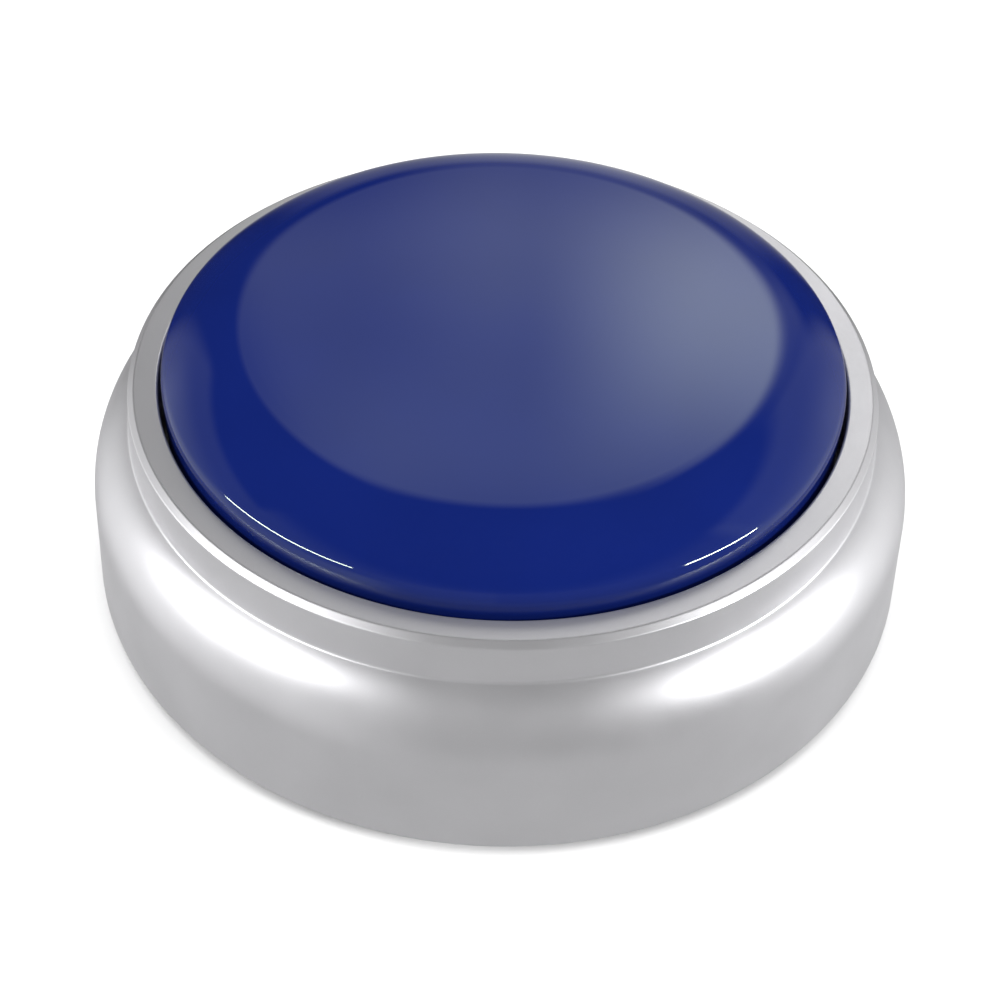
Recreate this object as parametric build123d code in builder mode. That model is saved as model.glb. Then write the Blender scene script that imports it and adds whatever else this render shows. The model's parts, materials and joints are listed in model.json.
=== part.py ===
"""A round table-top quiz buzzer: a wide push cap in a satin housing, with its works inside.

Millimetres, +Z up. The origin is on the table, on the axis of the buzzer. The battery door is on the
-Y half of the underside and the loudspeaker on the +Y half.
"""

import os
from math import asin, atan2, cos, degrees, radians, sin, sqrt

from build123d import *

os.makedirs("parts", exist_ok=True)

# Housing shell, the satin outside of the buzzer
foot_proud = 1.0  # the rubber feet hold the rim this far off the table
rim_radius = 45.0
wall_draft = 4.0  # degrees, the wall leans in as it rises
wall = 2.0
shoulder_radius = 10.0
step_radius = 39.7  # where the shoulder meets the upright ring
step_z = 20.0
ring_radius = 39.25
ring_top = 24.75
bore_radius = 36.15
skirt_wall_radius = 38.0  # outside of the wall round the bore, under the ring
edge_round = 0.5
bore_edge_round = 0.25
rim_round = 0.8

# Push cap
travel = 2.2
cap_radius = 35.7
cap_wall = 2.0
cap_top_thickness = 2.2
crown_radius = 27.2  # the nearly flat top ends here
crown_edge_z = 30.8
crown_sphere = 400.0
cap_shoulder_radius = 12.4
cap_corner_slope = 45.0  # degrees, where the shoulder turns into the tight corner
rib_bottom, rib_width, rib_reach = 26.9, 1.2, 32.0
post_radius = 3.0

# Inner deck
deck_radius = 40.0
deck_top = 16.8
deck_thickness = 1.6
deck_bottom = deck_top - deck_thickness
bump_thickness = 0.45
board_post_radius = 2.1
locating_ring = 20.0  # inside radius of the shallow ring under the deck
lead_slots = ((-24.0, 6.5, 9.0, 4.5), (-9.2, 18.0, 8.0, 6.0))  # x, y, length and width

# Bottom cover
cover_radius = 42.55
cover_bottom = 1.2
cover_thickness = 2.4
cover_top = cover_bottom + cover_thickness

# Fastenings between housing and bottom cover, under the rubber feet
boss_circle = 36.8
boss_angles = (50, 130, 240, 300)
boss_radius = 3.0
boss_end, boss_root = 6.0, 18.3
boss_hole_depth = 10.0
housing_screw_radius = 1.25
foot_radius = 4.0
foot_height = 2.5

# Deck screws, cap legs and return springs, four of each
quarter_turns = (0, 90, 180, 270)
deck_screw_circle = 37.5
deck_screw_radius = 1.0
deck_boss_radius, deck_boss_height, deck_hole_depth = 2.3, 2.4, 3.8
leg_inner, leg_outer = 31.6, 33.7
leg_width = 8.0
leg_clearance = 0.25
hook_reach = 1.2
hook_height = 1.5
spring_circle = 26.5
spring_mean_radius = 3.1
spring_wire = 0.25
spring_turns = 6
spring_top = 27.8
spring_angles = (45, 135, 225, 315)
spring_cup_outer, spring_cup_inner = 4.8, 4.0
spring_seat_radius = 4.2
spring_pin_radius, spring_pin_length = 2.3, 2.2

# Two AAA cells and their compartment
cell_radius = 5.25
cell_body = 43.5
nub_radius, nub_length = 1.9, 1.0
cell_z = 8.2
cell_rows = (-7.35, -18.85)
box_half_length = 25.2
box_near, box_far = -1.9, -24.3
box_wall = 1.2
box_roof = 13.6
box_middle = (box_near + box_far) / 2
contact_sheet = 0.4
tab_z, tab_length = 5.2, 3.4

# Battery door
door_thickness = 1.5
door_lap = 0.7
door_gap = 0.2
door_top = cover_bottom + door_thickness
hinge_x, hinge_z = 26.6, 2.3
hinge_barrel = 1.1
hinge_peg, hinge_peg_length = 0.6, 1.2
door_end = -27.0
tab_end, tab_width = -34.4, 12.0
door_screw_x = -31.0
door_screw_radius = 0.95

# Loudspeaker
speaker_y = 19.5
speaker_radius = 18.0
speaker_seat_z = 4.0
gasket_thickness = 0.5
cone_sheet = 0.2
flange_bottom = speaker_seat_z + gasket_thickness + cone_sheet
flange_sheet = 0.6
retainer_screw_x = 21.6
retainer_bottom = flange_bottom + flange_sheet
retainer_thickness = 1.3

# Circuit board and its push switch
board_length, board_width, board_thickness = 36.0, 26.0, 1.2
board_bottom = 18.0
board_top = board_bottom + board_thickness
board_screw_x, board_screw_y = 15.0, 9.5
switch_side, switch_height = 6.0, 3.5
button_radius, button_top, button_travel = 1.75, 24.2, 0.25
post_end = button_top + travel - button_travel + 0.02

# Power switch, on the bottom cover
power_x, power_y = -32.5, 8.0
power_travel = 2.0
knob_length, knob_width = 2.0, 1.4
switch_can_height, pin_height, pin_pitch = 3.6, 2.2, 2.6
pin_top = cover_top + switch_can_height + pin_height

lead_radius = 0.5
touch_gap = 0.05  # between pieces that only lie against each other
press_fit = 0.03  # screw holes are this much wider than the shank


def polar(radius, angle):
    """The point at a radius and an angle in degrees round the axis."""
    return radius * cos(radians(angle)), radius * sin(radians(angle))


def ring_of(radius, angles):
    """Places round the axis, each turned to face outwards."""
    return [Location((*polar(radius, a), 0), (0, 0, a)) for a in angles]


def nearest(shape, x, y):
    """The corner of a sketch nearest a point."""
    return shape.vertices().sort_by_distance((x, y, 0))[0]


def save(piece, name):
    """Label one finished piece and write its STEP file."""
    piece.part.label = name
    export_step(piece.part, f"parts/{name}.step")


def pan_screw(shank_radius, length, head_radius, head_height):
    """A pan-head screw with a cross recess: its head stands on Z = 0 and its shank points up."""
    with BuildPart() as screw:
        with BuildSketch(Plane.XY.offset(-head_height)):
            Circle(head_radius)
        extrude(amount=head_height)
        fillet(screw.edges().group_by(Axis.Z)[0], head_height * 0.45)
        with BuildSketch():
            Circle(shank_radius)
        extrude(amount=length)
        chamfer(screw.edges().group_by(Axis.Z)[-1], shank_radius * 0.4)
        with BuildSketch(Plane.XY.offset(-head_height)):
            Rectangle(head_radius * 1.1, shank_radius * 0.45)
            Rectangle(shank_radius * 0.45, head_radius * 1.1)
        extrude(amount=head_height * 0.55, mode=Mode.SUBTRACT)
    return screw.part


def lead(points, bends):
    """An insulated lead along straight runs joined by arcs."""
    with BuildPart() as wire:
        with BuildLine():
            path = FilletPolyline(*points, radius=bends)
        with BuildSketch(Plane(origin=path @ 0, z_dir=path % 0)):
            Circle(lead_radius)
        sweep()
    return wire


# Outline of the housing: where the shoulder's arc leaves the leaning wall
lean = radians(wall_draft)
along = Vector(-sin(lean), cos(lean))
inward = Vector(-cos(lean), -sin(lean))
rim_outside = Vector(rim_radius, foot_proud)
step_corner = Vector(step_radius, step_z)
from_step = rim_outside + inward * shoulder_radius - step_corner
rise = -from_step.dot(along) - sqrt(
    from_step.dot(along) ** 2 - from_step.dot(from_step) + shoulder_radius**2
)
shoulder_start = rim_outside + along * rise
shoulder_centre = shoulder_start + inward * shoulder_radius
shoulder_end_angle = degrees(
    atan2(step_z - shoulder_centre.Y, step_radius - shoulder_centre.X)
)
inner_radius = shoulder_radius - wall
ceiling_z = shoulder_centre.Y + sqrt(
    inner_radius**2 - (skirt_wall_radius - shoulder_centre.X) ** 2
)
ceiling_angle = degrees(
    atan2(ceiling_z - shoulder_centre.Y, skirt_wall_radius - shoulder_centre.X)
)
rim_inside = rim_outside + Vector(-wall / cos(lean), 0)

# Housing shell
with BuildPart() as housing_shell:
    with BuildSketch(Plane.XZ) as section:
        with BuildLine():
            Line(rim_outside, shoulder_start)
            CenterArc(
                shoulder_centre,
                shoulder_radius,
                wall_draft,
                shoulder_end_angle - wall_draft,
            )
            Polyline(
                step_corner,
                (ring_radius, ring_top),
                (bore_radius, ring_top),
                (bore_radius, deck_top),
                (skirt_wall_radius, deck_top),
                (skirt_wall_radius, ceiling_z),
            )
            inner_arc = CenterArc(
                shoulder_centre,
                inner_radius,
                ceiling_angle,
                wall_draft - ceiling_angle,
            )
            Polyline(inner_arc @ 1, rim_inside, rim_outside)
        make_face()
        fillet(nearest(section, rim_radius, foot_proud), rim_round)
        fillet(nearest(section, step_radius, step_z), edge_round)
        fillet(nearest(section, ring_radius, ring_top), edge_round)
        fillet(nearest(section, bore_radius, ring_top), bore_edge_round)
    revolve(axis=Axis.Z)
    with BuildSketch(Plane.XY.offset(boss_end)):
        with Locations(ring_of(boss_circle, boss_angles)):
            Circle(boss_radius)
    extrude(amount=boss_root - boss_end)
    with BuildSketch(Plane.XY.offset(deck_top)):
        with Locations(ring_of(deck_screw_circle, quarter_turns)):
            Circle(deck_boss_radius)
    extrude(amount=deck_boss_height)
    with BuildSketch(Plane.XY.offset(deck_top)):
        Circle(bore_radius)
    extrude(amount=deck_boss_height, mode=Mode.SUBTRACT)
    with BuildSketch(Plane.XY.offset(boss_end)):
        with Locations(ring_of(boss_circle, boss_angles)):
            Circle(housing_screw_radius + press_fit)
    extrude(amount=boss_hole_depth, mode=Mode.SUBTRACT)
    with BuildSketch(Plane.XY.offset(deck_top)):
        with Locations(ring_of(deck_screw_circle, quarter_turns)):
            Circle(deck_screw_radius + press_fit)
    extrude(amount=deck_hole_depth, mode=Mode.SUBTRACT)
save(housing_shell, "housing_shell")

# Inner deck: carries the cap, its springs and the circuit board
with BuildPart() as inner_deck:
    with BuildSketch(Plane.XY.offset(deck_bottom)):
        Circle(deck_radius)
        with Locations(ring_of(boss_circle, boss_angles)):
            Circle(boss_radius + 0.3, mode=Mode.SUBTRACT)
        with Locations(ring_of((leg_inner + leg_outer) / 2, quarter_turns)):
            Rectangle(
                leg_outer - leg_inner + 2 * leg_clearance,
                leg_width + 2 * leg_clearance,
                mode=Mode.SUBTRACT,
            )
        with Locations(ring_of(deck_screw_circle, quarter_turns)):
            Circle(deck_screw_radius + 0.15, mode=Mode.SUBTRACT)
        for x, y, length, width in lead_slots:
            with Locations((x, y)):
                SlotOverall(length, width, mode=Mode.SUBTRACT)
    extrude(amount=deck_thickness)
    with BuildSketch(Plane.XY.offset(deck_top)):
        with Locations(ring_of(spring_circle, spring_angles)):
            Circle(spring_cup_outer)
            Circle(spring_cup_inner, mode=Mode.SUBTRACT)
        with GridLocations(2 * board_screw_x, 2 * board_screw_y, 2, 2):
            Circle(board_post_radius)
    extrude(amount=board_bottom - deck_top)
    with BuildSketch(Plane.XY.offset(deck_bottom)):
        with GridLocations(2 * board_screw_x, 2 * board_screw_y, 2, 2):
            Circle(0.88)
    extrude(amount=board_bottom - deck_bottom, mode=Mode.SUBTRACT)
    with BuildSketch(Plane.XY.offset(deck_bottom)):
        Circle(locating_ring + 1)
        Circle(locating_ring, mode=Mode.SUBTRACT)
        for x, y, length, width in lead_slots:
            with Locations((x, y)):
                SlotOverall(length + 2, width + 2, mode=Mode.SUBTRACT)
    extrude(amount=-0.4)
save(inner_deck, "inner_deck")

# Foam ring that quietens the cap when it bottoms
with BuildPart() as bump_ring:
    with BuildSketch(Plane.XY.offset(deck_top)):
        Circle(cap_radius - 0.1)
        Circle(leg_outer + 0.4, mode=Mode.SUBTRACT)
    extrude(amount=bump_thickness)
save(bump_ring, "bump_ring")

# Screws that hold the deck up to the ring
deck_screw = pan_screw(deck_screw_radius, 5.0, 1.9, 1.3)
with BuildPart() as deck_screws:
    with Locations(
        [Location((*polar(deck_screw_circle, a), deck_bottom)) for a in quarter_turns]
    ):
        add(deck_screw)
save(deck_screws, "deck_screws")

# Push cap: crown, shoulder and skirt, with four hooked legs, ribs, spring seats and the switch post
skirt_bottom = deck_top + bump_thickness + travel + 0.05
crown_slope = degrees(asin(crown_radius / crown_sphere))
cap_centre = Vector(
    crown_radius - cap_shoulder_radius * sin(radians(crown_slope)),
    crown_edge_z - cap_shoulder_radius * cos(radians(crown_slope)),
)
crown_rise = crown_sphere * (1 - cos(radians(crown_slope)))
cap_top = crown_edge_z + crown_rise
corner_reach = sin(radians(cap_corner_slope))
corner_radius = (cap_radius - cap_centre.X - cap_shoulder_radius * corner_reach) / (
    1 - corner_reach
)  # the corner ends on the skirt
corner_centre = cap_centre + Vector(corner_reach, cos(radians(cap_corner_slope))) * (
    cap_shoulder_radius - corner_radius
)
inner_shoulder = cap_shoulder_radius - cap_top_thickness
cap_inside = cap_radius - cap_wall
inside_angle = degrees(asin((cap_inside - cap_centre.X) / inner_shoulder))
crown_centre = (0, crown_edge_z - crown_sphere * cos(radians(crown_slope)))
hook_top = deck_bottom - touch_gap
with BuildPart() as leg_hook:
    with BuildSketch(Plane.XZ):
        with BuildLine():
            Polyline(
                (leg_outer - 0.5, hook_top),
                (leg_outer + hook_reach, hook_top),
                (leg_outer + hook_reach, hook_top - 0.4),
                (leg_outer, hook_top - hook_height),
                (leg_outer - 0.5, hook_top - hook_height),
                close=True,
            )
        make_face()
    extrude(amount=leg_width / 2, both=True)

with BuildPart() as push_cap:
    with BuildSketch(Plane.XZ):
        with BuildLine():
            Line((0, cap_top - cap_top_thickness), (0, cap_top))
            crown = CenterArc(crown_centre, crown_sphere, 90, -crown_slope)
            shoulder = CenterArc(
                cap_centre,
                cap_shoulder_radius,
                90 - crown_slope,
                crown_slope - cap_corner_slope,
            )
            corner = CenterArc(
                corner_centre,
                corner_radius,
                90 - cap_corner_slope,
                cap_corner_slope - 90,
            )
            ceiling = CenterArc(
                cap_centre,
                inner_shoulder,
                90 - inside_angle,
                inside_angle - crown_slope,
            )
            Polyline(
                corner @ 1,
                (cap_radius, skirt_bottom),
                (cap_inside, skirt_bottom),
                ceiling @ 0,
            )
            CenterArc(
                crown_centre,
                crown_sphere - cap_top_thickness,
                90 - crown_slope,
                crown_slope,
            )
        make_face()
    revolve(axis=Axis.Z)
    with BuildSketch(Plane.XY.offset(skirt_bottom - 1)):  # legs, down to the hooks
        with Locations(ring_of((leg_inner + leg_outer) / 2, quarter_turns)):
            Rectangle(leg_outer - leg_inner, leg_width)
    extrude(until=Until.NEXT)
    with BuildSketch(Plane.XY.offset(hook_top - hook_height)):
        with Locations(ring_of((leg_inner + leg_outer) / 2, quarter_turns)):
            Rectangle(leg_outer - leg_inner, leg_width)
    extrude(amount=skirt_bottom - 1 - hook_top + hook_height)
    for angle in quarter_turns:
        add(leg_hook.part.rotate(Axis.Z, angle))
    with BuildSketch(Plane.XY.offset(rib_bottom)):  # ribs from the post to the legs
        with Locations(ring_of(rib_reach / 2, quarter_turns)):
            Rectangle(rib_reach, rib_width)
    extrude(until=Until.NEXT)
    with BuildSketch(Plane.XY.offset(post_end)):
        Circle(post_radius)
    extrude(until=Until.NEXT)
    with BuildSketch(Plane.XY.offset(spring_top)):
        with Locations(ring_of(spring_circle, spring_angles)):
            Circle(spring_seat_radius)
    extrude(until=Until.NEXT)
    with BuildSketch(Plane.XY.offset(spring_top - spring_pin_length)):
        with Locations(ring_of(spring_circle, spring_angles)):
            Circle(spring_pin_radius)
    extrude(amount=spring_pin_length)
save(push_cap, "push_cap")

# Return springs, plain coils between the deck and the cap
with BuildPart() as one_spring:
    coil_height = spring_top - deck_top - 2 * spring_wire - 2 * touch_gap
    with BuildLine():
        coil = Helix(coil_height / spring_turns, coil_height, spring_mean_radius)
    with BuildSketch(Plane(origin=coil @ 0, z_dir=coil % 0)):
        Circle(spring_wire)
    sweep(is_frenet=True)
with BuildPart() as return_springs:
    with Locations(
        [
            Location((*polar(spring_circle, a), deck_top + spring_wire + touch_gap))
            for a in spring_angles
        ]
    ):
        add(one_spring.part)
save(return_springs, "return_springs")

# Bottom cover: foot pockets, battery compartment, hinge lugs, speaker seat, grille, power switch slot
box_outer_x = box_half_length + box_wall
lug_gap = hinge_barrel + 0.25
with BuildPart() as bottom_cover:
    with BuildSketch(Plane.XY.offset(cover_bottom)):
        Circle(cover_radius)
    extrude(amount=cover_thickness)
    with BuildSketch(Plane.XY.offset(cover_top)):
        Circle(42.0)
        Circle(40.9, mode=Mode.SUBTRACT)
    extrude(amount=2.0)
    with BuildSketch(Plane.XY.offset(cover_top)):  # cups over the feet
        with Locations(ring_of(boss_circle, boss_angles)):
            Circle(5.0)
        Circle(cover_radius - 0.6, mode=Mode.INTERSECT)
    extrude(amount=boss_end - cover_top)
    with BuildSketch(Plane.XY.offset(cover_top)):  # battery compartment
        with Locations((0, box_middle)):
            Rectangle(2 * box_outer_x, box_near - box_far + 2 * box_wall)
    extrude(amount=box_roof + 1 - cover_top)
    with BuildSketch(Plane.XY.offset(cover_top)):  # lugs round the hinge pegs
        with Locations((hinge_x, box_near + 2.2), (hinge_x, box_far - 2.2)):
            Rectangle(4, 3.6)
    extrude(amount=1.4)
    with BuildSketch(Plane.XY.offset(cover_bottom)):
        with Locations((0, box_middle)):
            Rectangle(2 * box_half_length, box_near - box_far)
    extrude(amount=box_roof - cover_bottom, mode=Mode.SUBTRACT)
    with BuildSketch(Plane.XY.offset(cover_bottom)):  # recess the door lies in
        recess_y = box_near - box_far + 2 * (door_lap + door_gap)
        recess_end = hinge_x + lug_gap
        with Locations(((door_end - door_gap + recess_end) / 2, box_middle)):
            Rectangle(recess_end - door_end + door_gap, recess_y)
        with Locations(((door_end + tab_end - door_gap) / 2, box_middle)):
            Rectangle(door_end - tab_end + door_gap + 2, tab_width + 2 * door_gap)
    extrude(amount=door_thickness, mode=Mode.SUBTRACT)
    with BuildSketch(Plane.XY.offset(cover_bottom)):  # room for the hinge barrel
        with Locations((hinge_x, box_middle)):
            Rectangle(2 * lug_gap, recess_y)
    extrude(amount=hinge_z + lug_gap - cover_bottom, mode=Mode.SUBTRACT)
    with BuildSketch(Plane.XZ.offset(-(box_near + 2.4))):  # peg holes
        with Locations((hinge_x, hinge_z)):
            Circle(hinge_peg + 0.06)
    extrude(amount=box_near - box_far + 4.8, mode=Mode.SUBTRACT)
    with BuildSketch(Plane.XY.offset(door_top)):  # boss for the door screw
        with Locations((door_screw_x, box_middle)):
            Circle(3.0)
    extrude(amount=6.2)
    with BuildSketch(Plane.XY.offset(door_top)):
        with Locations((door_screw_x, box_middle)):
            Circle(door_screw_radius + 0.35)
    extrude(amount=5.4, mode=Mode.SUBTRACT)
    with BuildSketch(Plane.XY.offset(cover_bottom)):  # foot pockets
        with Locations(ring_of(boss_circle, boss_angles)):
            Circle(foot_radius + 0.1)
    extrude(amount=1.4, mode=Mode.SUBTRACT)
    with BuildSketch(Plane.XY.offset(cover_bottom)):
        with Locations(ring_of(boss_circle, boss_angles)):
            Circle(2.5)
    extrude(amount=3.2, mode=Mode.SUBTRACT)
    with BuildSketch(Plane.XY.offset(cover_bottom)):
        with Locations(ring_of(boss_circle, boss_angles)):
            Circle(housing_screw_radius + 0.15)
    extrude(amount=6, mode=Mode.SUBTRACT)
    with BuildSketch(Plane.XY.offset(cover_top)):  # speaker seat
        with Locations((0, speaker_y)):
            Circle(speaker_radius)
            Circle(speaker_radius - 1.6, mode=Mode.SUBTRACT)
    extrude(amount=speaker_seat_z - cover_top)
    with BuildSketch(Plane.XY.offset(cover_top)):  # wall round the speaker, and retainer bosses
        with Locations((0, speaker_y)):
            Circle(speaker_radius + 1.2)
            with Locations((-retainer_screw_x, 0), (retainer_screw_x, 0)):
                Circle(2.8)
            Circle(speaker_radius + 0.15, mode=Mode.SUBTRACT)
    extrude(amount=retainer_bottom - cover_top)
    with BuildSketch(Plane.XY.offset(2.0)):
        with Locations((-retainer_screw_x, speaker_y), (retainer_screw_x, speaker_y)):
            Circle(1.03)
    extrude(amount=4, mode=Mode.SUBTRACT)
    with BuildSketch(Plane.XY.offset(cover_bottom)):  # grille, rings of round holes
        with Locations((0, speaker_y)):
            Circle(1.0)
            for circle, count in ((4.4, 6), (8.6, 12), (12.8, 18)):
                with PolarLocations(circle, count):
                    Circle(1.0)
    extrude(amount=cover_thickness, mode=Mode.SUBTRACT)
    with BuildSketch(Plane.XY.offset(cover_bottom)):  # thumbnail pocket and slot of the power switch
        with Locations((power_x, power_y)):
            RectangleRounded(5.0, 10.0, 1.2)
    extrude(amount=0.8, mode=Mode.SUBTRACT)
    with BuildSketch(Plane.XY.offset(cover_bottom)):
        with Locations((power_x, power_y)):
            Rectangle(knob_width + 0.3, knob_length + power_travel + 0.3)
    extrude(amount=cover_thickness, mode=Mode.SUBTRACT)
    with BuildSketch(Plane.YZ.offset(-box_outer_x - 1)):  # slots for the two solder tabs
        with Locations(*((y, tab_z) for y in cell_rows)):
            Rectangle(3.0, 0.8)
    extrude(amount=box_wall + 2, mode=Mode.SUBTRACT)
save(bottom_cover, "bottom_cover")

# Screws through the bottom cover into the housing, and the rubber feet that hide them
housing_screw = pan_screw(housing_screw_radius, 10.0, 2.3, 1.5)
with BuildPart() as housing_screws:
    with Locations([Location((*polar(boss_circle, a), 4.4)) for a in boss_angles]):
        add(housing_screw)
save(housing_screws, "housing_screws")

with BuildPart() as rubber_feet:
    with BuildSketch():
        with Locations(ring_of(boss_circle, boss_angles)):
            Circle(foot_radius)
    extrude(amount=foot_height)
    fillet(rubber_feet.edges().group_by(Axis.Z)[0], 0.3)
save(rubber_feet, "rubber_feet")

# Battery door with its hinge barrel and pegs
with BuildPart() as battery_door:
    door_y = box_near - box_far + 2 * door_lap
    with BuildSketch(Plane.XY.offset(cover_bottom)):
        with Locations(((door_end + hinge_x) / 2, box_middle)):
            Rectangle(hinge_x - door_end, door_y)
        with Locations(((tab_end + door_end + 6) / 2, box_middle)):
            RectangleRounded(door_end - tab_end + 6, tab_width, 2.0)
    extrude(amount=door_thickness - touch_gap)
    with BuildSketch(Plane.XZ.offset(-(box_near + door_lap))):
        with Locations((hinge_x, hinge_z)):
            Circle(hinge_barrel)
    extrude(amount=door_y)
    with BuildSketch(Plane.XZ.offset(-(box_near + door_lap + hinge_peg_length))):
        with Locations((hinge_x, hinge_z)):
            Circle(hinge_peg)
    extrude(amount=door_y + 2 * hinge_peg_length)
    with BuildSketch(Plane.XY.offset(cover_bottom)):  # counterbore and hole for the screw
        with Locations((door_screw_x, box_middle)):
            Circle(2.1)
    extrude(amount=1.0, mode=Mode.SUBTRACT)
    with BuildSketch(Plane.XY.offset(cover_bottom)):
        with Locations((door_screw_x, box_middle)):
            Circle(door_screw_radius + 0.1)
    extrude(amount=3, mode=Mode.SUBTRACT)
    with BuildSketch(Plane.XY.offset(cover_bottom)):  # finger ribs
        with Locations((-16, box_middle)):
            with GridLocations(2.2, 0, 5, 1):
                SlotOverall(14, 0.8, rotation=90)
    extrude(amount=0.35, mode=Mode.SUBTRACT)
save(battery_door, "battery_door")

with BuildPart() as battery_door_screw:
    with Locations((door_screw_x, box_middle, cover_bottom + 1.0)):
        add(pan_screw(door_screw_radius, 4.5, 1.9, 0.9))
save(battery_door_screw, "battery_door_screw")

# Cells: one with its nub towards -X, the other turned round
nub_x = box_half_length - contact_sheet - 0.5 - 0.02
with BuildPart() as aaa_cell:
    with BuildSketch(Plane.YZ):
        Circle(cell_radius)
    extrude(amount=cell_body)
    fillet(aaa_cell.edges(), 0.5)
    with BuildSketch(Plane.YZ.offset(-nub_length)):
        Circle(nub_radius)
    extrude(amount=nub_length)
    fillet(aaa_cell.edges().group_by(Axis.X)[0], 0.3)
with BuildPart() as aaa_cells:
    with Locations(
        Location((-nub_x + nub_length, cell_rows[0], cell_z)),
        Location((nub_x - nub_length, cell_rows[1], cell_z), (0, 0, 180)),
    ):
        add(aaa_cell.part)
save(aaa_cells, "aaa_cells")

# Battery contacts
cell_back = nub_x - nub_length - cell_body  # where the flat end of a turned cell lies
contact_spring_length = box_half_length - contact_sheet + cell_back


def contact_plate(rows):
    """A flat contact plate against the wall at +X, with one pad for each cell row."""
    with BuildPart() as plate:
        with BuildSketch(Plane.YZ.offset(box_half_length - contact_sheet)):
            with Locations(*((y, cell_z) for y in rows)):
                Rectangle(8.5, 8.5)
            if len(rows) > 1:
                with Locations((sum(rows) / 2, cell_z)):
                    Rectangle(6, 4)
        extrude(amount=contact_sheet - touch_gap)
    return plate.part


with BuildPart() as contact_coil:
    coil_length = contact_spring_length - 2 * 0.3 - 2 * touch_gap
    with BuildLine():
        coil = Helix(coil_length / 3.5, coil_length, 3.0)
    with BuildSketch(Plane(origin=coil @ 0, z_dir=coil % 0)):
        Circle(0.3)
    sweep(is_frenet=True)

with BuildPart() as contact_dimple:
    with BuildSketch(Plane.XY):
        Circle(1.6)
    extrude(amount=0.5, taper=20)

with BuildPart() as solder_tab:
    with BuildSketch(Plane.YZ):
        Rectangle(2.5, contact_sheet)
    extrude(amount=tab_length)

wall_face = box_half_length - contact_sheet
with BuildPart() as contact_bridge:
    add(contact_plate(cell_rows))
    with Locations(Location((wall_face, cell_rows[1], cell_z), (0, -90, 0))):
        add(contact_dimple.part)
save(contact_bridge, "contact_bridge")

with BuildPart() as contact_positive:
    add(contact_plate(cell_rows[:1]).mirror(Plane.YZ))
    with Locations(Location((-wall_face, cell_rows[0], cell_z), (0, 90, 0))):
        add(contact_dimple.part)
    with Locations((-wall_face - tab_length, cell_rows[0], tab_z)):
        add(solder_tab.part)
save(contact_positive, "contact_positive")

with BuildPart() as contact_negative:
    add(contact_plate(cell_rows[1:]).mirror(Plane.YZ))
    with Locations((-wall_face - tab_length, cell_rows[1], tab_z)):
        add(solder_tab.part)
save(contact_negative, "contact_negative")

with BuildPart() as battery_springs:
    with Locations(
        Location((wall_face - 0.3 - touch_gap, cell_rows[0], cell_z), (0, -90, 0)),
        Location((0.3 + touch_gap - wall_face, cell_rows[1], cell_z), (0, 90, 0)),
    ):
        add(contact_coil.part)
save(battery_springs, "battery_springs")

# Loudspeaker, face down over the grille
basket_top = 9.0
magnet_bottom = basket_top + flange_sheet
magnet_top = 13.2
terminal_thickness = 0.8
with BuildPart() as speaker_gasket:
    with BuildSketch(Plane.XY.offset(speaker_seat_z)):
        with Locations((0, speaker_y)):
            Circle(speaker_radius)
            Circle(speaker_radius - 2.2, mode=Mode.SUBTRACT)
    extrude(amount=gasket_thickness)
save(speaker_gasket, "speaker_gasket")

speaker_plane = Plane(origin=(0, speaker_y, 0), x_dir=(1, 0, 0), z_dir=(0, -1, 0))
speaker_axis = Axis((0, speaker_y, 0), (0, 0, 1))
with BuildPart() as speaker_frame:
    with BuildSketch(speaker_plane):
        with BuildLine():
            Polyline(
                (speaker_radius, flange_bottom),
                (speaker_radius, retainer_bottom),
                (15.9, retainer_bottom),
                (11.9, magnet_bottom),
                (4.0, magnet_bottom),
                (4.0, basket_top),
                (11.6, basket_top),
                (15.5, flange_bottom),
                close=True,
            )
        make_face()
    revolve(axis=speaker_axis)
    with BuildSketch(Plane.XY.offset(basket_top)):  # vents in the basket
        with Locations((0, speaker_y)):
            with PolarLocations(13.4, 4, start_angle=45):
                SlotOverall(6, 2, rotation=90)
    extrude(amount=-5, mode=Mode.SUBTRACT)
save(speaker_frame, "speaker_frame")

with BuildPart() as speaker_magnet:
    with BuildSketch(Plane.XY.offset(magnet_bottom)):
        with Locations((0, speaker_y)):
            Circle(9.5)
    extrude(amount=magnet_top - magnet_bottom - 0.8)
    fillet(speaker_magnet.edges().group_by(Axis.Z)[-1], 0.3)
save(speaker_magnet, "speaker_magnet")

with BuildPart() as speaker_yoke:
    with BuildSketch(Plane.XY.offset(magnet_top - 0.8)):
        with Locations((0, speaker_y)):
            Circle(8.8)
    extrude(amount=0.8)
    with BuildSketch(Plane.XY.offset(magnet_top)):
        with Locations((0, speaker_y)):
            Circle(1.5)
    extrude(amount=-0.5, mode=Mode.SUBTRACT)
save(speaker_yoke, "speaker_yoke")

cone_front = speaker_seat_z + gasket_thickness
cone_back = cone_front + cone_sheet
dust_cap_radius, dust_cap_sphere = 7.0, 16.0
dust_cap_angle = degrees(asin(dust_cap_radius / dust_cap_sphere))
dust_cap_rise = sqrt(dust_cap_sphere**2 - dust_cap_radius**2)
with BuildPart() as cone_on_axis:
    with BuildSketch(Plane.XZ):
        with BuildLine():
            for z in (cone_front, cone_back):
                Line((17.6, z), (14.9, z))
                ThreePointArc((14.9, z), (13.9, z + 0.6), (12.9, z))
                Line((12.9, z), (dust_cap_radius, z + 2.5))
                CenterArc((0, z + 2.5 + dust_cap_rise), dust_cap_sphere, -90, dust_cap_angle)
            Line((17.6, cone_front), (17.6, cone_back))
            dust_cap_z = 2.5 + dust_cap_rise - dust_cap_sphere
            Line((0, cone_front + dust_cap_z), (0, cone_back + dust_cap_z))
        make_face()
    revolve(axis=Axis.Z)
with BuildPart() as speaker_cone:
    with Locations((0, speaker_y)):
        add(cone_on_axis.part)
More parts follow.
